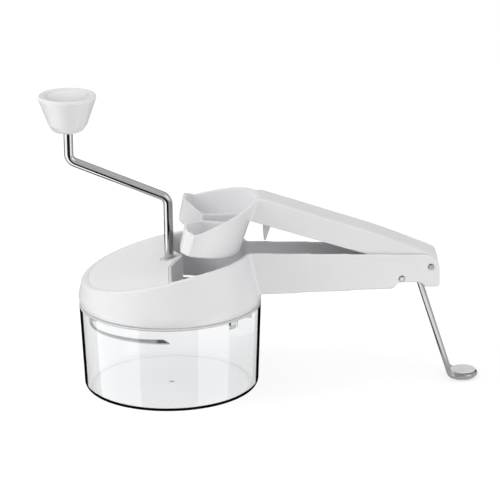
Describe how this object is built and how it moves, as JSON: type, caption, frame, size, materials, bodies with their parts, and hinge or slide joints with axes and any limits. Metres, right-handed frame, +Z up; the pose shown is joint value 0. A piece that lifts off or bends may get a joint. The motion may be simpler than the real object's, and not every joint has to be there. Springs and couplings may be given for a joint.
{
  "type": "rotary julienne slicer",
  "caption": "Hand-cranked rotary slicer: clear bowl, white cover with hopper and arm, hinged lever with pusher, bent crank with knob, and a folding wire leg.",
  "frame": {"origin": "centre of the bowl's resting face", "axes": "+Z up along the crank's axis, +X along the arm towards the hinge, +Y to the back"},
  "size_m": [0.3917, 0.1646, 0.2732],
  "materials": {
    "clear_plastic": "clear, polished",
    "white_plastic": "satin gloss",
    "inset_plastic": "satin gloss",
    "bearing_plastic": "matte",
    "bright_rod": "polished",
    "bright_wire": "polished",
    "blade_steel": "fine brushed",
    "dark_steel": "plain",
    "pad_rubber": "matte"
  },
  "bodies": {
    "bowl": {"bowl": "clear_plastic"},
    "cover": {"cover": "white_plastic", "top_panel": "inset_plastic", "upper_bush": "bearing_plastic", "lower_bush": "bearing_plastic", "hinge_pin": "dark_steel"},
    "crank": {"crank_rod": "bright_rod", "retaining_rings": "blade_steel", "cutting_disc": "blade_steel", "slicing_blade": "blade_steel", "julienne_comb": "blade_steel", "blade_rivets": "blade_steel", "drive_hub": "bearing_plastic", "sweep_blade": "blade_steel", "disc_nut": "bearing_plastic", "knob_ring": "blade_steel"},
    "knob": {"knob": "white_plastic", "knob_sleeve": "bearing_plastic", "knob_cap": "inset_plastic"},
    "lever": {"lever": "white_plastic"},
    "leg": {"leg_wire": "bright_wire", "foot_pad": "pad_rubber"}
  },
  "joints": [
    {"name": "cover_lift", "type": "slide", "parent": "bowl", "child": "cover", "axis": [0, 0, 1], "range_m": [0, 0.06]},
    {"name": "crank_spin", "type": "hinge", "parent": "cover", "child": "crank", "pos_m": [0, 0, 0.1], "axis": [0, 0, 1], "continuous": true},
    {"name": "knob_spin", "type": "hinge", "parent": "crank", "child": "knob", "pos_m": [-0.0874, 0, 0.25], "axis": [0, 0, 1], "continuous": true},
    {"name": "lever_hinge", "type": "hinge", "parent": "cover", "child": "lever", "pos_m": [0.2344, 0, 0.1119], "axis": [0, 1, 0], "range_deg": [-15.5, 58]},
    {"name": "leg_fold", "type": "hinge", "parent": "cover", "child": "leg", "pos_m": [0.208, 0, 0.1012], "axis": [0, 1, 0], "range_deg": [0, 105]}
  ]
}
